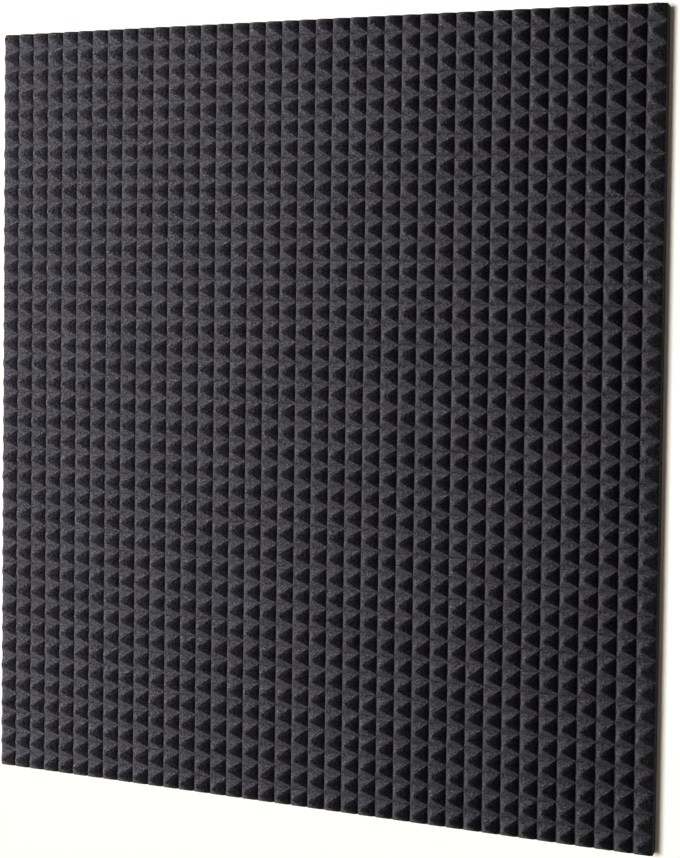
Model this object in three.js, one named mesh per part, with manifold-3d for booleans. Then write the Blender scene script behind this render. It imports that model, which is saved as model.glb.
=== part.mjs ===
// Acoustic foam panel: a square tile of open-cell foam with a face of small pyramids,
// on five pads of double-sided mounting tape.
// Millimetres. +Z is up, the pyramids point to -Y, and the wall is the plane y = 0.
// The origin is on the wall, behind the middle of the tile.

import * as THREE from "three";
import { mergeVertices } from "three/addons/utils/BufferGeometryUtils.js";
import Module from "manifold-3d";

// Foam tile
const TILE_WIDTH = 500;
const TILE_HEIGHT = 500;
const BASE_THICKNESS = 6.2;

// Pyramids: whole columns of them fill the tile's width, so its left and right edges
// follow valleys. Its height is cut from a longer sheet, regardless of the rows.
const COLUMNS = 39;
const ROW_PITCH = 12.94;
const PYRAMID_HEIGHT = 7.8;

// The first level valley lies this share of a row above the bottom edge.
const FIRST_ROW_SHARE = 0.87;

// Mounting pads
const PAD_SIDE = 50;
const PAD_THICKNESS = 1;
const PAD_CORNER_RADIUS = 4;
const PAD_EDGE_MARGIN = 25;
const PAD_CORNER_STEPS = 6;

// How far a cutting or cut body runs past the faces that it crosses, and how many
// whole rows the uncut sheet runs past the tile's top and bottom
const OVERRUN = 5;
const SPARE_ROWS = 1;

// Finishes: charcoal foam and off-white tape
const FOAM_COLOUR = 0x2c2a2e;
const FOAM_ROUGHNESS = 1;
const TAPE_COLOUR = 0xe6e4dc;
const TAPE_ROUGHNESS = 0.45;

// Planes of the tile, front to back
const BACK_Y = -PAD_THICKNESS;
const VALLEY_Y = BACK_Y - BASE_THICKNESS;
const TIP_Y = VALLEY_Y - PYRAMID_HEIGHT;

const wasm = await Module();
wasm.setup();

// A closed geometry as a solid: only its positions stay, and shared corners are merged.
function solidOf(geometry) {
  const bare = geometry.clone();
  bare.deleteAttribute("normal");
  bare.deleteAttribute("uv");
  const merged = mergeVertices(bare);
  const mesh = new wasm.Mesh({
    numProp: 3,
    vertProperties: new Float32Array(merged.attributes.position.array),
    triVerts: new Uint32Array(merged.index.array),
  });
  return new wasm.Manifold(mesh);
}

// A solid as a flat-shaded geometry
function geometryOf(solid) {
  const mesh = solid.getMesh();
  const geometry = new THREE.BufferGeometry();
  geometry.setAttribute("position", new THREE.BufferAttribute(mesh.vertProperties, mesh.numProp));
  geometry.setIndex(new THREE.BufferAttribute(mesh.triVerts, 1));
  const flat = geometry.toNonIndexed();
  flat.computeVertexNormals();
  return flat;
}

// The uncut sheet: whole pyramids on a slab, as wide as the tile and higher than it.
// A corner of the grid is a valley crossing, and each cell rises to a tip in its middle.
function pyramidSheet(bottom, rows) {
  const positions = [];
  const faces = [];
  const addPoint = (x, y, z) => {
    positions.push(x, y, z);
    return positions.length / 3 - 1;
  };
  const gridX = (column) => (column / COLUMNS - 0.5) * TILE_WIDTH;
  const gridZ = (row) => bottom + row * ROW_PITCH;
  const corners = [];
  for (let row = 0; row <= rows; row += 1) {
    for (let column = 0; column <= COLUMNS; column += 1) {
      corners.push(addPoint(gridX(column), VALLEY_Y, gridZ(row)));
    }
  }
  const cornerAt = (column, row) => corners[row * (COLUMNS + 1) + column];
  for (let row = 0; row < rows; row += 1) {
    for (let column = 0; column < COLUMNS; column += 1) {
      const tip = addPoint(gridX(column + 0.5), TIP_Y, gridZ(row + 0.5));
      const ring = [
        cornerAt(column, row),
        cornerAt(column + 1, row),
        cornerAt(column + 1, row + 1),
        cornerAt(column, row + 1),
      ];
      ring.forEach((corner, side) => faces.push(corner, ring[(side + 1) % ring.length], tip));
    }
  }

  // The rim of the valley grid, anticlockwise as seen from the front
  const rim = [];
  for (let column = 0; column < COLUMNS; column += 1) {
    rim.push(cornerAt(column, 0));
  }
  for (let row = 0; row < rows; row += 1) {
    rim.push(cornerAt(COLUMNS, row));
  }
  for (let column = COLUMNS; column > 0; column -= 1) {
    rim.push(cornerAt(column, rows));
  }
  for (let row = rows; row > 0; row -= 1) {
    rim.push(cornerAt(0, row));
  }

  // The sides drop from the rim to the back, and the back is a fan about its middle.
  const rearY = BACK_Y + OVERRUN;
  const rear = rim.map((corner) => addPoint(positions[corner * 3], rearY, positions[corner * 3 + 2]));
  const hub = addPoint(gridX(COLUMNS / 2), rearY, gridZ(rows / 2));
  rim.forEach((corner, step) => {
    const next = (step + 1) % rim.length;
    faces.push(corner, rear[step], rear[next]);
    faces.push(corner, rear[next], rim[next]);
    faces.push(hub, rear[next], rear[step]);
  });

  const sheet = new THREE.BufferGeometry();
  sheet.setAttribute("position", new THREE.Float32BufferAttribute(positions, 3));
  sheet.setIndex(faces);
  return sheet;
}

// The block that cuts the sheet to the tile's height and to its back. It is wider than
// the sheet and runs past the tips, so it leaves the sides and the pyramids whole.
function tileBlock() {
  const frontY = TIP_Y - OVERRUN;
  const depth = BACK_Y - frontY;
  const block = new THREE.BoxGeometry(TILE_WIDTH + 2 * OVERRUN, depth, TILE_HEIGHT);
  block.translate(0, frontY + depth / 2, 0);
  return block;
}

// A level valley lies above the bottom edge, so the tile may touch one row more than
// its height holds.
function foamTile() {
  const rows = Math.ceil(TILE_HEIGHT / ROW_PITCH) + 1 + 2 * SPARE_ROWS;
  const firstValley = -TILE_HEIGHT / 2 + FIRST_ROW_SHARE * ROW_PITCH;
  const bottom = firstValley - (1 + SPARE_ROWS) * ROW_PITCH;
  const sheet = solidOf(pyramidSheet(bottom, rows));
  return geometryOf(sheet.intersect(solidOf(tileBlock())));
}

// A square of tape with round corners, its middle at the origin and its thickness
// from the wall to the tile's back
function tapePad() {
  const half = PAD_SIDE / 2;
  const turn = half - PAD_CORNER_RADIUS;
  const outline = new THREE.Shape();
  outline.absarc(turn, turn, PAD_CORNER_RADIUS, 0, Math.PI / 2);
  outline.absarc(-turn, turn, PAD_CORNER_RADIUS, Math.PI / 2, Math.PI);
  outline.absarc(-turn, -turn, PAD_CORNER_RADIUS, Math.PI, Math.PI * 1.5);
  outline.absarc(turn, -turn, PAD_CORNER_RADIUS, Math.PI * 1.5, Math.PI * 2);
  const pad = new THREE.ExtrudeGeometry(outline, {
    depth: PAD_THICKNESS,
    bevelEnabled: false,
    curveSegments: PAD_CORNER_STEPS,
  });
  return pad.rotateX(Math.PI / 2);
}

const foamMaterial = new THREE.MeshStandardMaterial({
  color: FOAM_COLOUR,
  roughness: FOAM_ROUGHNESS,
  metalness: 0,
});

function tapeMaterial() {
  return new THREE.MeshStandardMaterial({
    color: TAPE_COLOUR,
    roughness: TAPE_ROUGHNESS,
    metalness: 0,
  });
}

const panel = new THREE.Group();

const foam = new THREE.Mesh(foamTile(), foamMaterial);
foam.name = "foam_tile";
panel.add(foam);

// Left and right are as seen from the front. Each corner pad keeps the same margin
// to both of its edges.
const padReachX = TILE_WIDTH / 2 - PAD_EDGE_MARGIN - PAD_SIDE / 2;
const padReachZ = TILE_HEIGHT / 2 - PAD_EDGE_MARGIN - PAD_SIDE / 2;
const padPlaceShares = {
  pad_centre: [0, 0],
  pad_top_left: [-1, 1],
  pad_top_right: [1, 1],
  pad_bottom_left: [-1, -1],
  pad_bottom_right: [1, -1],
};
for (const [name, [across, up]] of Object.entries(padPlaceShares)) {
  const pad = new THREE.Mesh(tapePad(), tapeMaterial());
  pad.name = name;
  pad.position.set(across * padReachX, 0, up * padReachZ);
  panel.add(pad);
}

export default panel;
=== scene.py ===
"""An acoustic foam panel: a charcoal pyramid foam tile on squares of mounting tape.

Metres. +Z is up, the pyramids point to -Y, and the wall is the plane y = 0.
"""

import math

import bpy
import numpy as np
from bpy.props import FloatProperty, FloatVectorProperty, IntProperty, PointerProperty
from bpy.types import Operator, Panel, PropertyGroup
from mathutils import Matrix, Vector


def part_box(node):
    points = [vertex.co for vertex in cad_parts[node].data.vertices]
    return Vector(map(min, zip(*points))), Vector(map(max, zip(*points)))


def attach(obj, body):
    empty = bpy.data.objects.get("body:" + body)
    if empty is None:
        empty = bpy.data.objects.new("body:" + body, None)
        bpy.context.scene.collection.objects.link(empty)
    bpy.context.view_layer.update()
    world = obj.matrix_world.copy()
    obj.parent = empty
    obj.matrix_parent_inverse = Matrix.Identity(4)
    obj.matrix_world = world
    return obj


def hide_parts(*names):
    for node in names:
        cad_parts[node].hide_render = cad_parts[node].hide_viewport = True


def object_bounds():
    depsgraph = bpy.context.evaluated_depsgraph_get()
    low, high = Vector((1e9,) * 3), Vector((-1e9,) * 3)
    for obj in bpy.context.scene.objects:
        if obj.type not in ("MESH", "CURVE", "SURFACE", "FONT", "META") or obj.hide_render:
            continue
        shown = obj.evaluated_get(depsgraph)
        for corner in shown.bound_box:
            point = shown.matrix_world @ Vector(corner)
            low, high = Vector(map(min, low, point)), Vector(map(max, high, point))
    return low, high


bl_info = {
    "name": "Acoustic foam panel",
    "version": (1, 0, 0),
    "blender": (4, 5, 0),
    "location": "View3D > Sidebar > Foam panel",
    "description": "Builds a pyramid foam tile, its tape pads, and a studio stage round them",
    "category": "Object",
}

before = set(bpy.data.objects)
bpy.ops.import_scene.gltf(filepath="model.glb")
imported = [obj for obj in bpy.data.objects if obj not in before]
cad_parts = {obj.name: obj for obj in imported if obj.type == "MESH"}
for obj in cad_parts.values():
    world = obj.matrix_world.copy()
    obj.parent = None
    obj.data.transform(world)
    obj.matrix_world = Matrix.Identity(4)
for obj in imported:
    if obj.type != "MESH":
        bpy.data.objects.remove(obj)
CAD_LOW, CAD_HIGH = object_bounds()
TILE_LOW, TILE_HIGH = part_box("foam_tile")
BODY = "root"
# Name of the mesh attribute that carries the painted shade
PAINTED_SHADE = "painted_shade"
PADS = sorted(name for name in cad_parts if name.startswith("pad_"))


# Settings

def colour_setting(name, description, default):
    """A colour that a user can change."""
    return FloatVectorProperty(
        name=name,
        description=description,
        subtype="COLOR",
        default=default,
        min=0.0,
        max=1.0,
    )


class FoamTileSettings(PropertyGroup):
    """Sizes of the pyramids and how soft and uneven they are."""

    columns: IntProperty(
        name="Columns",
        description="Number of pyramids across the tile's width",
        default=39,
        min=1,
    )
    row_pitch: FloatProperty(
        name="Row pitch",
        description="Distance from one row of pyramids to the next",
        default=0.01294,
        min=0.005,
        unit="LENGTH",
    )
    slab: FloatProperty(
        name="Slab",
        description="Thickness of the foam behind the valleys",
        default=0.0062,
        min=0.001,
        unit="LENGTH",
    )
    height: FloatProperty(
        name="Pyramid height",
        description="Height of a tip over the valleys",
        default=0.0075,
        min=0.001,
        unit="LENGTH",
    )
    first_row_share: FloatProperty(
        name="First row",
        description="Height of the lowest level valley over the bottom edge, in rows",
        default=0.87,
        min=0.0,
        max=1.0,
    )
    hollow: FloatProperty(
        name="Hollow faces",
        description="Power of the face's slope: 1 is flat and more is hollow",
        default=1.35,
        min=1.0,
    )
    arris_softness: FloatProperty(
        name="Arris softness",
        description="How far the arrises between the faces are rounded, in pitches",
        default=0.01,
        min=0.001,
    )
    tip_softness: FloatProperty(
        name="Tip softness",
        description="How far the tips are rounded, in pitches",
        default=0.14,
        min=0.001,
    )
    bow: FloatVectorProperty(
        name="Bow",
        description="How far the middle of the lattice is moved to the left and up",
        size=2,
        default=(0.0015, 0.0008),
        unit="LENGTH",
    )
    skew: FloatProperty(
        name="Skew",
        description="How far the upper right corner is cut below a true square",
        default=0.00175,
        unit="LENGTH",
    )
    taper: FloatProperty(
        name="Taper",
        description="How far the cut sides lean in toward the back",
        default=0.0014,
        min=0.0,
        unit="LENGTH",
    )
    lean: FloatProperty(
        name="Lean",
        description="Spread of the small moves of the tips off their places",
        default=0.00012,
        min=0.0,
        unit="LENGTH",
    )


class FoamFinishSettings(PropertyGroup):
    """Colours and pore size of the foam."""

    strut_colour: colour_setting(
        "Foam", "Colour of the foam's struts", (0.0915, 0.0885, 0.108)
    )
    warm_colour: colour_setting(
        "Warm foam", "Colour of the struts in the slightly warmer patches", (0.0935, 0.0885, 0.1015)
    )
    # Painted glints: a colour painted on a few struts, as if they caught the light
    painted_glint_colour: colour_setting(
        "Bright strut", "Colour of the few struts that catch the light", (0.166, 0.160, 0.188)
    )
    pore_colour: colour_setting(
        "Pore", "Colour in the foam's pores", (0.0078, 0.0073, 0.0092)
    )
    # Painted shade: how far the shade painted on the pyramids' right-hand faces, the valleys beside
    # them, the cut rims and the cut sides takes the colour toward black
    painted_shade_depth: FloatProperty(
        name="Dark creases",
        description="Share of the colour lost in the creases beside the pyramids",
        default=0.97,
        min=0.0,
        max=1.0,
    )
    pore_size: FloatProperty(
        name="Pore size",
        description="Width of an average pore",
        default=0.0010,
        min=0.0002,
        unit="LENGTH",
    )
    pore_depth: FloatProperty(
        name="Pore depth",
        description="How deep the pores look",
        default=0.0004,
        min=0.0,
        unit="LENGTH",
    )


class TapeSettings(PropertyGroup):
    """Shape and colour of the mounting tape."""

    corner_radius: FloatProperty(
        name="Corner radius",
        description="Radius of a pad's corners",
        default=0.004,
        min=0.0005,
        unit="LENGTH",
    )
    edge_radius: FloatProperty(
        name="Edge radius",
        description="How far a pad's cut edge is rounded",
        default=0.00018,
        min=0.00001,
        unit="LENGTH",
    )
    colour: colour_setting(
        "Tape", "Colour of the tape's foam core", (0.78, 0.77, 0.71)
    )


class StageSettings(PropertyGroup):
    """The camera's place and the lamps' strengths."""

    eye: FloatVectorProperty(
        name="Camera",
        description="Where the camera stands",
        subtype="TRANSLATION",
        default=(0.9416, -1.3986, 0.0830),
    )
    yaw: FloatProperty(
        name="Yaw",
        description="Turn of the camera to the left of +Y",
        subtype="ANGLE",
        default=math.radians(33.33),
    )
    pitch: FloatProperty(
        name="Pitch",
        description="Tilt of the camera above level",
        subtype="ANGLE",
        default=math.radians(-3.106),
    )
    roll: FloatProperty(
        name="Roll",
        description="Turn of the camera about its own axis, clockwise",
        subtype="ANGLE",
        default=math.radians(-0.677),
    )
    lens: FloatProperty(
        name="Lens",
        description="Focal length in millimetres for a 36 mm sensor",
        default=111.19,
        min=10.0,
    )
    floor_colour: colour_setting("Floor", "Colour of the floor", (0.4, 0.4, 0.4))
    floor_glow: colour_setting(
        "Floor glow", "Light added to the floor where it is seen", (0.65, 0.65, 0.65)
    )
    wall_colour: colour_setting("Wall", "Colour of the wall to bounced light", (0.3, 0.3, 0.3))
    wall_seen_colour: colour_setting(
        "Wall as seen", "Colour of the wall where it is seen", (0.9, 0.9, 0.9)
    )
    wall_glow: colour_setting(
        "Wall glow", "Light added to the wall where it is seen", (0.05, 0.038, 0.028)
    )
    light: FloatProperty(
        name="Light",
        description="Strength of all the lamps before the wall",
        default=1.0,
        min=0.0,
    )
    wash: FloatProperty(
        name="Wall wash",
        description="Strength of the broad light that reaches only the wall",
        default=5.2,
        min=0.0,
    )
    wash_aim: FloatVectorProperty(
        name="Wash direction",
        description="Way that the light on the wall goes",
        subtype="DIRECTION",
        default=(0.32, 1.0, 0.0),
    )
    wash_colour: colour_setting(
        "Wash colour", "Colour of the light on the wall", (1.0, 0.95, 0.86)
    )
    wash_spread: FloatProperty(
        name="Wash spread",
        description="Angle over which the light on the wall is spread",
        subtype="ANGLE",
        default=math.radians(36.0),
        min=0.0,
    )
    back: FloatProperty(
        name="Back light",
        description="Power of the lamp behind the wall, which lights only the tile's back",
        default=14.0,
        min=0.0,
        subtype="POWER",
    )


# Materials

class Signal:
    """A socket of a node tree. Sums, differences and products of it add Math nodes."""

    def __init__(self, tree, socket=None):
        self.tree = tree
        self.socket = socket

    def node(self, kind, settings=None, sockets=None, output=0):
        """Adds a node: its settings first, then a value or a link for each socket.

        An output is named by its number or its name. A closing node has none.
        """
        made = self.tree.nodes.new(kind)
        for name, value in (settings or {}).items():
            setattr(made, name, value)
        for name, value in (sockets or {}).items():
            if isinstance(value, Signal):
                self.tree.links.new(value.socket, made.inputs[name])
            else:
                made.inputs[name].default_value = value
        return Signal(self.tree, made.outputs[output] if len(made.outputs) else None)

    def math(self, operation, first, second):
        return self.node("ShaderNodeMath", {"operation": operation}, {0: first, 1: second})

    def __add__(self, other):
        return self.math("ADD", self, other)

    def __sub__(self, other):
        return self.math("SUBTRACT", self, other)

    def __rsub__(self, other):
        return self.math("SUBTRACT", other, self)

    def __mul__(self, other):
        return self.math("MULTIPLY", self, other)

    __radd__ = __add__
    __rmul__ = __mul__

    def between(self, low, high):
        """0 below low, 1 above high, and a smooth step in between."""
        settings = {"interpolation_type": "SMOOTHSTEP"}
        sockets = {"Value": self, "From Min": low, "From Max": high}
        return self.node("ShaderNodeMapRange", settings, sockets)

    def blend(self, low_colour, high_colour):
        """The first colour where this is 0 and the second where it is 1.

        Sockets 6 and 7 of a Mix node are its two colours.
        """
        sockets = {"Factor": self, 6: low_colour, 7: high_colour}
        return self.node("ShaderNodeMix", {"data_type": "RGBA"}, sockets, output=2)


def new_material(name):
    """An empty node material and a Signal to build on."""
    material = bpy.data.materials.new(name)
    material.use_nodes = True
    material.node_tree.nodes.clear()
    return material, Signal(material.node_tree)


def opaque(colour):
    """A colour with full alpha."""
    return (*colour, 1.0)


BLACK = (0.0, 0.0, 0.0)


def foam_material(finish):
    """Open-cell foam: pores between struts, a coarser mottle, and a few struts painted bright as
    glints.

    A pattern's scale is counted against the pores: 1 is as fine and less is coarser. The
    mesh's attribute says how much shade is painted on the foam, toward black.
    """
    material, start = new_material("charcoal_foam")
    place = start.node("ShaderNodeTexCoord", output="Object")
    fine = 1 / finish.pore_size

    def pores(scale):
        sockets = {"Vector": place, "Scale": fine * scale}
        return start.node("ShaderNodeTexVoronoi", {"feature": "F1"}, sockets)

    def mottle(scale, detail=2.0):
        sockets = {"Vector": place, "Scale": fine * scale, "Detail": detail}
        return start.node("ShaderNodeTexNoise", {}, sockets)

    # Struts stand between pores of two sizes
    struts = (pores(1.0) * 0.6 + pores(0.55) * 0.4).between(0.25, 0.65)
    # Grain is where single struts lie high or low, and tone is where they bunch or thin out
    grain = mottle(0.8)
    tone = mottle(0.03, 3.0)
    # Tint leads from the plain patches to the warmer ones
    tint = mottle(0.05).between(0.4, 0.6)
    # Painted glints: the few struts painted bright, as if they caught the light
    painted_glint = mottle(0.9, 0.0).between(0.62, 0.78)
    cover = struts * 0.55 + grain.between(0.3, 0.7) * 0.55 + tone * 0.3 - 0.3
    strut = tint.blend(opaque(finish.strut_colour), opaque(finish.warm_colour))
    body = cover.blend(opaque(finish.pore_colour), strut)
    lit = (painted_glint * struts).blend(body, opaque(finish.painted_glint_colour))
    # Painted shade from the mesh's attribute darkens the right-hand faces, the valleys beside them,
    # the cut rims and the cut sides toward black
    painted_shade = start.node("ShaderNodeAttribute", {"attribute_name": PAINTED_SHADE}, output="Fac")
    colour = (painted_shade * finish.painted_shade_depth).blend(lit, opaque(BLACK))

    height = struts * 0.7 + grain * 1.2
    relief = {"Height": height, "Distance": finish.pore_depth, "Strength": 0.45}
    bump = start.node("ShaderNodeBump", {}, relief)
    looks = {"Base Color": colour, "Roughness": 0.95, "Specular IOR Level": 0.2, "Normal": bump}
    shader = start.node("ShaderNodeBsdfPrincipled", {}, looks)
    start.node("ShaderNodeOutputMaterial", {}, {"Surface": shader})
    return material


def tape_material(tape):
    """Foam tape: a closed-cell core with a slightly rippled, tacky face."""
    material, start = new_material("mounting_tape")
    place = start.node("ShaderNodeTexCoord", output="Object")
    cell_sockets = {"Vector": place, "Scale": 2600}
    cells = start.node("ShaderNodeTexVoronoi", {"feature": "F1"}, cell_sockets)
    ripple = start.node("ShaderNodeTexNoise", {}, {"Vector": place, "Scale": 90, "Detail": 4.0})
    dust = start.node("ShaderNodeTexNoise", {}, {"Vector": place, "Scale": 420, "Detail": 3.0})
    darker = tuple(part * 0.86 for part in tape.colour)
    clean = (ripple * 0.6 + dust * 0.4).between(0.3, 0.7)
    colour = clean.blend(opaque(darker), opaque(tape.colour))
    roughness = dust.between(0.35, 0.75) * 0.25 + 0.28
    relief = {"Height": cells * 0.3 + ripple, "Distance": 0.0003, "Strength": 0.5}
    bump = start.node("ShaderNodeBump", {}, relief)
    looks = {"Base Color": colour, "Roughness": roughness, "Normal": bump}
    shader = start.node("ShaderNodeBsdfPrincipled", {}, looks)
    start.node("ShaderNodeOutputMaterial", {}, {"Surface": shader})
    return material


def seen_directly(start):
    """1 for rays from the camera, a gloss or a clear surface, and 0 for bounced light."""
    camera, glossy, clear = (
        start.node("ShaderNodeLightPath", output=f"Is {kind} Ray")
        for kind in ("Camera", "Glossy", "Transmission")
    )
    return start.math("MINIMUM", camera + glossy + clear, 1.0)


def paper_white(name, base, seen_base, glow):
    """A pale studio surface, paler and glowing where it is seen, and clear from behind."""
    material, start = new_material(name)
    seen = seen_directly(start)
    colour = seen.blend(opaque(base), opaque(seen_base))
    paint = start.node("ShaderNodeBsdfDiffuse", {}, {"Color": colour})
    light = start.node("ShaderNodeEmission", {}, {"Color": opaque(glow), "Strength": seen})
    front = start.node("ShaderNodeAddShader", {}, {0: paint, 1: light})
    clear = start.node("ShaderNodeBsdfTransparent")
    behind = start.node("ShaderNodeNewGeometry", output="Backfacing")
    shader = start.node("ShaderNodeMixShader", {}, {0: behind, 1: front, 2: clear})
    start.node("ShaderNodeOutputMaterial", {}, {"Surface": shader})
    return material


# Meshes

def mesh_object(name, points, faces, material, smooth=True):
    """An object from an array of points and an array of triangles or quads."""
    mesh = bpy.data.meshes.new(name)
    corners = np.asarray(faces, np.int32)
    mesh.vertices.add(len(points))
    mesh.vertices.foreach_set("co", np.asarray(points, np.float32).ravel())
    mesh.loops.add(corners.size)
    mesh.loops.foreach_set("vertex_index", corners.ravel())
    mesh.polygons.add(len(corners))
    mesh.polygons.foreach_set("loop_start", np.arange(0, corners.size, corners.shape[1]))
    mesh.update(calc_edges=True)
    mesh.validate()
    mesh.polygons.foreach_set("use_smooth", np.full(len(mesh.polygons), smooth))
    mesh.materials.append(material)
    piece = bpy.data.objects.new(name, mesh)
    bpy.context.scene.collection.objects.link(piece)
    return piece


def sharpen_edges(mesh, on_arris):
    """Marks every edge whose two ends are both flagged as on a sharp arris."""
    ends = np.empty(len(mesh.edges) * 2, np.int32)
    mesh.edges.foreach_get("vertices", ends)
    sharp = on_arris[ends].reshape(-1, 2).all(1)
    mesh.attributes.new("sharp_edge", "BOOLEAN", "EDGE").data.foreach_set("value", sharp)


# Where the mesh lines of one pyramid lie, in cells: closest at its valley and its ridge
CELL_LINES = np.array([0.0, 0.06, 0.13, 0.42, 0.5, 0.58, 0.87, 0.94])

# Spread of the share of its height that a tip lacks, and the start of the random draws
LOW_TIP_SHARE = 0.012
RANDOM_SEED = 7

# Painted shade on a right-hand face, away from the light, by the distance from the face's
# valley in cells, and how much of that is left by the distance from the valley that
# crosses it. The last column has a limit of its own, and the cuts have one value each.
PAINTED_SHADE_PLACES = [0.0, 0.06, 0.13, 0.42, 0.5]
PAINTED_SHADE_SHARES = [1.0, 1.0, 0.6, 0.1, 0.0]
CROSSING_SHARES = [0.1, 0.35, 0.6, 1.0, 1.0]
LAST_COLUMN_SHARE = 0.45
CUT_RIM_SHARE = 0.8
CUT_SIDE_SHARE = 0.6


def grid_lines(low, high, margin=0.05):
    """Places of the mesh lines in cells: every cell's own, the two cut edges, and one
    line a margin inside each cut edge. A line nearer than two margins is left out.
    """
    cells = np.arange(math.floor(low), math.ceil(high))
    lines = (cells[:, None] + CELL_LINES[None, :]).ravel()
    inside = lines[(lines > low + 2 * margin) & (lines < high - 2 * margin)]
    return np.concatenate(([low, low + margin], inside, [high - margin, high]))


def valley_share(place, softness):
    """Distance to the nearest valley, 0 to a half, of a place counted in cells.

    With d the distance to the ridge, the eased one is the hyperbola sqrt(d^2 + s^2) - s.
    It is scaled to run from 0 at the ridge to a half at the valley, and taken from a half.
    """
    to_ridge = 0.5 - np.abs(place - np.round(place))
    eased = np.sqrt(to_ridge**2 + softness**2) - softness
    most = math.sqrt(0.25 + softness**2) - softness
    return 0.5 - 0.5 * eased / most


def crown(across, up, tile):
    """Share of the full height over the valleys, 0 to 1.

    It is twice the smaller of the two distances to a valley, raised to a power. The
    smaller one is a soft minimum, (a + b - sqrt((a - b)^2 + s^2)) / 2, so the arrises
    between a pyramid's faces are rounded.
    """
    softness = tile.arris_softness
    apart = np.sqrt((across - up) ** 2 + softness**2)
    nearest = (across + up - apart) / 2
    top = 0.5 - softness / 2
    return np.clip((nearest + softness / 2) / (top + softness / 2), 0, 1) ** tile.hollow


def tile_front(tile):
    """The tile's front as a grid: points (rows, columns, 3) and its lines in cells.

    A point's depth is the valley plane less the crown's height. Each pyramid's tip is
    moved by a small amount of its own, and the points below move with the crown. The
    whole lattice is bowed to the left by 1 - u^2 and up by 1 - v^2, with u from -1 to 1
    across the tile and v from -1 to 1 up it. The upper right corner is lowered by the
    square of (1 + u)(1 + v) / 4.
    """
    column_pitch = (TILE_HIGH.x - TILE_LOW.x) / tile.columns
    low_cut = 1 - tile.first_row_share
    high_cut = low_cut + (TILE_HIGH.z - TILE_LOW.z) / tile.row_pitch
    cell_x = grid_lines(0, tile.columns)
    cell_z = grid_lines(low_cut, high_cut)
    across = TILE_LOW.x + cell_x * column_pitch
    up = TILE_LOW.z + (cell_z - low_cut) * tile.row_pitch
    across = across - tile.bow[0] * (1 - (across / TILE_HIGH.x) ** 2)
    up = up + tile.bow[1] * (1 - (up / TILE_HIGH.z) ** 2)
    share = crown(
        valley_share(cell_x, tile.tip_softness)[None, :],
        valley_share(cell_z, tile.tip_softness)[:, None],
        tile,
    )
    column = np.floor(cell_x).astype(int)
    row = np.floor(cell_z).astype(int)
    random = np.random.default_rng(RANDOM_SEED)
    size = (row.max() + 1, column.max() + 1)
    lean_x, lean_z = random.normal(0, tile.lean, (2, *size))
    low_tip = 1 - np.abs(random.normal(0, LOW_TIP_SHARE, size))
    cell = np.ix_(row, column)
    edge_x = (cell_x > cell_x[0]) & (cell_x < cell_x[-1])
    edge_z = (cell_z > cell_z[0]) & (cell_z < cell_z[-1])
    x = across[None, :] + lean_x[cell] * share * edge_x[None, :]
    z = up[:, None] + lean_z[cell] * share * edge_z[:, None]
    z = z - tile.skew * ((1 + x / TILE_HIGH.x) * (1 + z / TILE_HIGH.z) / 4) ** 2
    y = TILE_HIGH.y - tile.slab - tile.height * share * low_tip[cell]
    return np.stack([x, y, z], -1), cell_x, cell_z


def arris_lines(cell_x, cell_z, near=0.01, touching=1e-6):
    """Which points lie in a valley or on a hip, from the lines in cells.

    In a valley a point's distance to one is 0. On a hip its two distances are equal. The
    tip itself, half a cell from both, is left out, as it is round.
    """
    across = np.abs(cell_x - np.round(cell_x))[None, :]
    up = np.abs(cell_z - np.round(cell_z))[:, None]
    hip = (np.abs(across - up) < near) & (across < 0.5 - near)
    return (across < touching) | (up < touching) | hip


def painted_shade_share(faces, cell_x, cell_z, columns):
    """How dark each corner of each front triangle is, 0 to 1, from the lines in cells.

    The painted shade grows down a pyramid's right face, away from the light, by the
    corner's distance to the valley, fades where two valleys cross, and is 0 on the other
    faces. In the last column it is limited, as the right face ends at the tile's edge. The
    rim of the top and bottom cuts has painted shade as well.
    is dark as well.
    """
    x = cell_x[faces % len(cell_x)]
    row = faces // len(cell_x)
    z = cell_z[row]
    middle_x, middle_z = x.mean(1), z.mean(1)
    to_valley_x = np.abs(middle_x - np.round(middle_x))
    to_valley_z = np.abs(middle_z - np.round(middle_z))
    right = (middle_x % 1 > 0.5) & (to_valley_x < to_valley_z)
    last = (middle_x > columns - 1)[:, None]
    depth = np.interp(np.abs(x - np.round(x)), PAINTED_SHADE_PLACES, PAINTED_SHADE_SHARES)
    depth = depth * np.interp(np.abs(z - np.round(z)), PAINTED_SHADE_PLACES, CROSSING_SHARES)
    depth = np.where(last, np.minimum(depth, LAST_COLUMN_SHARE), depth)
    at_cut = (row == 0) | (row == len(cell_z) - 1)
    return np.maximum(depth * right[:, None], CUT_RIM_SHARE * at_cut)


def split_quads(corners, rising):
    """Two triangles for each quad, cut along its rising or its falling diagonal."""
    a, b, c, d = corners
    first = np.where(rising, [a, b, c], [a, b, d])
    second = np.where(rising, [a, c, d], [b, c, d])
    return np.concatenate([first, second], 1).T


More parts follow.
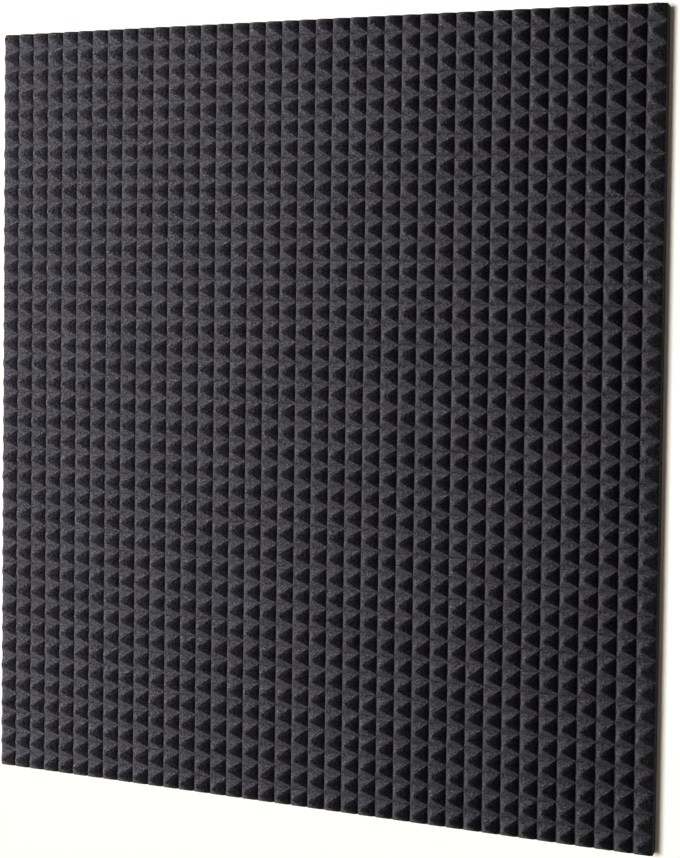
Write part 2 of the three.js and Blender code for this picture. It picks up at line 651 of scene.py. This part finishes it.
def foam_tile_mesh(tile):
    """Points, triangles, arris flags and painted shade shares of the closed tile.

    The front is a grid whose quads are cut along the pyramids' hips. The side walls run
    from its rim to the back, where they are drawn in by the taper, and the back is a fan
    about its middle.
    """
    front, cell_x, cell_z = tile_front(tile)
    rows, columns = front.shape[:2]
    index = np.arange(rows * columns).reshape(rows, columns)
    rim = np.concatenate([index[0, :-1], index[:-1, -1], index[-1, :0:-1], index[:0:-1, 0]])
    rear = index.size + np.arange(len(rim))
    middle = rear[-1] + 1

    left_half = (cell_x[:-1] + cell_x[1:]) / 2 % 1 < 0.5
    low_half = (cell_z[:-1] + cell_z[1:]) / 2 % 1 < 0.5
    rising = (left_half[None, :] == low_half[:, None]).ravel()
    cells = (index[:-1, :-1], index[:-1, 1:], index[1:, 1:], index[1:, :-1])
    front_faces = split_quads([corner.ravel() for corner in cells], rising)
    walls = [rim, rear, np.roll(rear, -1), np.roll(rim, -1)]
    side_faces = split_quads(walls, np.ones(len(rim), bool))
    back_faces = np.stack([np.full(len(rim), middle), np.roll(rear, -1), rear], 1)

    front_points = front.reshape(-1, 3)
    rear_points = front_points[rim] * (1 - tile.taper / TILE_HIGH.x)
    rear_points[:, 1] = TILE_HIGH.y
    middle_point = [[0.0, TILE_HIGH.y, 0.0]]
    on_arris = np.zeros(middle + 1, bool)
    on_arris[:index.size] = arris_lines(cell_x, cell_z).ravel()
    on_arris[rim] = True
    on_arris[rear] = True
    # Painted shade: by face on the front, a fixed share all over the cut sides, none on the back
    shares = [
        painted_shade_share(front_faces, cell_x, cell_z, tile.columns),
        np.full(side_faces.shape, CUT_SIDE_SHARE),
        np.zeros(back_faces.shape),
    ]
    points = np.concatenate([front_points, rear_points, middle_point])
    faces = np.concatenate([front_faces, side_faces, back_faces])
    return points, faces, on_arris, np.concatenate(shares)


def rounded_square(half, radius, turn_steps):
    """Points round a square with round corners, anticlockwise seen from the back.

    Each corner is a quarter turn of the radius about its own centre.
    """
    turn = np.linspace(0, math.pi / 2, turn_steps + 1)
    quarter = [turn + number * math.pi / 2 for number in range(4)]
    signs = [(1, 1), (-1, 1), (-1, -1), (1, -1)]
    inner = half - radius
    return np.concatenate([
        np.stack([x * inner + radius * np.cos(angle), z * inner + radius * np.sin(angle)], 1)
        for (x, z), angle in zip(signs, quarter)
    ])


def pad_mesh(low, high, tape, turn_steps=10, edge_steps=4):
    """Points and faces of a tape pad: a rounded square carried through its thickness.

    Its two faces are fans about their middles. Each edge is a quarter round, inset by
    r(1 - sin t) at a depth of r(1 - cos t), with r the edge radius.
    """
    centre, half = (low + high) / 2, (high.x - low.x) / 2
    quarter = np.linspace(0, math.pi / 2, edge_steps + 1)
    inset = tape.edge_radius * (1 - np.sin(quarter))
    depth = tape.edge_radius * (1 - np.cos(quarter))
    insets = np.concatenate([inset, inset[::-1]])
    places = np.concatenate([high.y - depth, (low.y + depth)[::-1]])
    rings = []
    for shrink, place in zip(insets, places):
        outline = rounded_square(half - shrink, tape.corner_radius - shrink, turn_steps)
        x, z = centre.x + outline[:, 0], centre.z + outline[:, 1]
        rings.append(np.stack([x, np.full(len(x), place), z], 1))
    around = len(rings[0])
    loops = np.arange(len(rings) * around).reshape(len(rings), around)
    ahead = np.roll(loops, -1, axis=1)
    quads = [part.ravel() for part in (loops[:-1], ahead[:-1], ahead[1:], loops[1:])]
    faces = [split_quads(quads, np.ones(quads[0].size, bool))]
    back, front = loops.size, loops.size + 1
    faces.append(np.stack([np.full(around, back), ahead[0], loops[0]], 1))
    faces.append(np.stack([np.full(around, front), loops[-1], ahead[-1]], 1))
    hubs = np.array([[centre.x, high.y, centre.z], [centre.x, low.y, centre.z]])
    return np.concatenate([*rings, hubs]), np.concatenate(faces)


# Operators

class FOAMPANEL_OT_foam_tile(Operator):
    """Build the foam tile over its solid"""

    bl_idname = "foampanel.foam_tile"
    bl_label = "Foam tile"

    def execute(self, context):
        tile = context.scene.foampanel_tile
        points, faces, on_arris, shares = foam_tile_mesh(tile)
        material = foam_material(context.scene.foampanel_foam)
        piece = mesh_object("pyramid_foam_tile", points, faces, material)
        sharpen_edges(piece.data, on_arris)
        # The painted shade goes on each face corner
        painted_shade = piece.data.attributes.new(PAINTED_SHADE, "FLOAT", "CORNER")
        painted_shade.data.foreach_set("value", shares.ravel())
        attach(piece, BODY)
        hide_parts("foam_tile")
        return {"FINISHED"}


class FOAMPANEL_OT_tape_pads(Operator):
    """Build the squares of mounting tape behind the tile"""

    bl_idname = "foampanel.tape_pads"
    bl_label = "Tape pads"

    def execute(self, context):
        if not PADS:
            raise RuntimeError("the frame holds no tape pads")
        tape = context.scene.foampanel_tape
        material = tape_material(tape)
        for node in PADS:
            low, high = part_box(node)
            points, faces = pad_mesh(low, high, tape)
            piece = mesh_object(f"tape_{node}", points, faces, material)
            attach(piece, BODY)
            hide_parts(node)
        return {"FINISHED"}


# How far the floor and the wall reach, how far the floor lies under the tile, and how far
# the tile laps over the opening in the wall
STAGE_REACH = 6.0
FLOOR_DROP = 0.75
WALL_LAP = 0.004

# The lamps before the wall: name, place, side in metres, power in watts, and colour. The
# one behind it takes its power from the stage's settings.
LAMPS = (
    ("far_softbox", (-1.5, -0.77, 0.9), 0.5, 15.0, (1.0, 1.0, 1.0)),
    ("left_softbox", (-0.64, -0.64, 0.43), 0.3, 3.5, (1.0, 1.0, 1.0)),
    ("left_low_softbox", (-0.75, -0.47, -0.45), 0.3, 8.0, (1.0, 1.0, 1.0)),
    ("front_softbox", (-0.27, -0.54, -0.03), 0.2, 1.4, (1.0, 1.0, 1.0)),
    ("front_high_softbox", (-0.17, -0.43, 0.38), 0.2, 1.5, (1.0, 1.0, 1.0)),
    ("right_softbox", (2.88, -0.84, 0.06), 0.5, 1.9, (1.0, 0.95, 0.88)),
)
BACK_LAMP_PLACE = (0.5, 1.4, 0.6)
BACK_LAMP_SIDE = 1.2

# The camera's sensor in millimetres, and the nearest thing that it sees in metres
SENSOR_WIDTH = 36.0
NEAR_CLIP = 0.01


def add_lamp(name, kind, strength, way, colour=(1.0, 1.0, 1.0)):
    """A lamp that shines the way of a vector, and the object that holds it."""
    lamp = bpy.data.lights.new(name, kind)
    lamp.energy = strength
    lamp.color = colour
    holder = bpy.data.objects.new(name, lamp)
    holder.rotation_euler = Vector(way).to_track_quat("-Z", "Y").to_euler()
    bpy.context.scene.collection.objects.link(holder)
    return lamp, holder


def softbox(name, place, side, power, colour=(1.0, 1.0, 1.0)):
    """A square lamp at a place, facing the middle of the tile."""
    lamp, holder = add_lamp(name, "AREA", power, -Vector(place), colour)
    lamp.shape = "SQUARE"
    lamp.size = side
    holder.location = place
    return holder


def receivers(name, target, state):
    """A light's receivers: the target alone, or everything but the target."""
    group = bpy.data.collections.new(name)
    group.objects.link(target)
    group.collection_objects[0].light_linking.link_state = state
    return group


def flat_sheet(name, corners, faces, material):
    """A flat piece of the stage."""
    sheet = mesh_object(name, np.array(corners), np.array(faces), material, smooth=False)
    return sheet


class FOAMPANEL_OT_stage(Operator):
    """Set up the floor, the wall, the lamps and the camera"""

    bl_idname = "foampanel.stage"
    bl_label = "Studio stage"

    def execute(self, context):
        stage = context.scene.foampanel_stage
        self.lay_floor(stage)
        wall = self.build_wall(stage)
        self.light_tile(stage, wall)
        self.wash_wall(stage, wall)
        self.light_back(stage)
        self.whiten_world()
        self.place_camera(stage)
        context.scene.view_settings.view_transform = "Standard"
        return {"FINISHED"}

    def lay_floor(self, stage):
        pale = paper_white(
            "pale_floor", stage.floor_colour, stage.floor_colour, stage.floor_glow
        )
        reach, height = STAGE_REACH, TILE_LOW.z - FLOOR_DROP
        corners = [(-reach, -reach), (reach, -reach), (reach, reach), (-reach, reach)]
        flat_sheet("floor", [(x, y, height) for x, y in corners], [(0, 1, 2, 3)], pale)

    def build_wall(self, stage):
        """A frame round an opening, which lets the lamp behind reach the tile's back."""
        pale = paper_white(
            "pale_wall", stage.wall_colour, stage.wall_seen_colour, stage.wall_glow
        )
        reach, foot = STAGE_REACH, TILE_LOW.z - FLOOR_DROP
        left, right = TILE_LOW.x + WALL_LAP, TILE_HIGH.x - WALL_LAP
        bottom, top = TILE_LOW.z + WALL_LAP, TILE_HIGH.z - WALL_LAP
        outer = [(-reach, foot), (reach, foot), (reach, reach), (-reach, reach)]
        inner = [(left, bottom), (right, bottom), (right, top), (left, top)]
        corners = [(x, CAD_HIGH.y, z) for x, z in outer + inner]
        faces = [(side, (side + 1) % 4, (side + 1) % 4 + 4, side + 4) for side in range(4)]
        return flat_sheet("wall", corners, faces, pale)

    def light_tile(self, stage, wall):
        """Lamps before the tile that leave the wall out."""
        not_wall = receivers("all_but_the_wall", wall, "EXCLUDE")
        for name, place, side, power, colour in LAMPS:
            holder = softbox(name, place, side, power * stage.light, colour)
            holder.light_linking.receiver_collection = not_wall

    def wash_wall(self, stage, wall):
        """A broad light on the wall alone, in which the tile still throws its shadow."""
        lamp, holder = add_lamp(
            "wall_wash", "SUN", stage.wash, stage.wash_aim, stage.wash_colour
        )
        lamp.angle = stage.wash_spread
        holder.light_linking.receiver_collection = receivers("wall_only", wall, "INCLUDE")

    def light_back(self, stage):
        """A lamp behind the wall, for views of the tile's back through the opening."""
        softbox("back_softbox", BACK_LAMP_PLACE, BACK_LAMP_SIDE, stage.back)

    def whiten_world(self):
        """A world that is white where it is seen and adds no light."""
        world = bpy.data.worlds.new("studio")
        bpy.context.scene.world = world
        world.use_nodes = True
        world.node_tree.nodes.clear()
        start = Signal(world.node_tree)
        sky = start.node("ShaderNodeBackground", {}, {"Strength": seen_directly(start)})
        start.node("ShaderNodeOutputWorld", {}, {"Surface": sky})

    def place_camera(self, stage):
        camera = bpy.data.cameras.new("camera")
        camera.lens = stage.lens
        camera.sensor_width = SENSOR_WIDTH
        camera.clip_start = NEAR_CLIP
        holder = bpy.data.objects.new("camera", camera)
        turn = (
            Matrix.Rotation(stage.yaw, 4, "Z")
            @ Matrix.Rotation(math.pi / 2 + stage.pitch, 4, "X")
            @ Matrix.Rotation(-stage.roll, 4, "Z")
        )
        holder.matrix_world = Matrix.Translation(Vector(stage.eye)) @ turn
        bpy.context.scene.collection.objects.link(holder)
        bpy.context.scene.camera = holder


class FOAMPANEL_PT_sidebar(Panel):
    """Lists the pieces of the foam panel"""

    bl_idname = "FOAMPANEL_PT_sidebar"
    bl_label = "Foam panel"
    bl_space_type = "VIEW_3D"
    bl_region_type = "UI"
    bl_category = "Foam panel"

    def draw(self, context):
        for group, settings, operator in GROUPS:
            box = self.layout.box()
            owner = getattr(context.scene, group)
            for name in settings.__annotations__:
                box.prop(owner, name)
            if operator is not None:
                box.operator(operator.bl_idname)


GROUPS = (
    ("foampanel_foam", FoamFinishSettings, None),
    ("foampanel_tile", FoamTileSettings, FOAMPANEL_OT_foam_tile),
    ("foampanel_tape", TapeSettings, FOAMPANEL_OT_tape_pads),
    ("foampanel_stage", StageSettings, FOAMPANEL_OT_stage),
)
OPERATORS = tuple(operator for _, _, operator in GROUPS if operator is not None)


def register():
    for name, settings, _ in GROUPS:
        bpy.utils.register_class(settings)
        setattr(bpy.types.Scene, name, PointerProperty(type=settings))
    for operator in OPERATORS:
        bpy.utils.register_class(operator)
    bpy.utils.register_class(FOAMPANEL_PT_sidebar)


def unregister():
    bpy.utils.unregister_class(FOAMPANEL_PT_sidebar)
    for operator in reversed(OPERATORS):
        bpy.utils.unregister_class(operator)
    for name, settings, _ in reversed(GROUPS):
        delattr(bpy.types.Scene, name)
        bpy.utils.unregister_class(settings)


def main():
    register()
    bpy.ops.foampanel.stage()
    bpy.ops.foampanel.foam_tile()
    bpy.ops.foampanel.tape_pads()


if __name__ == "__main__":
    main()
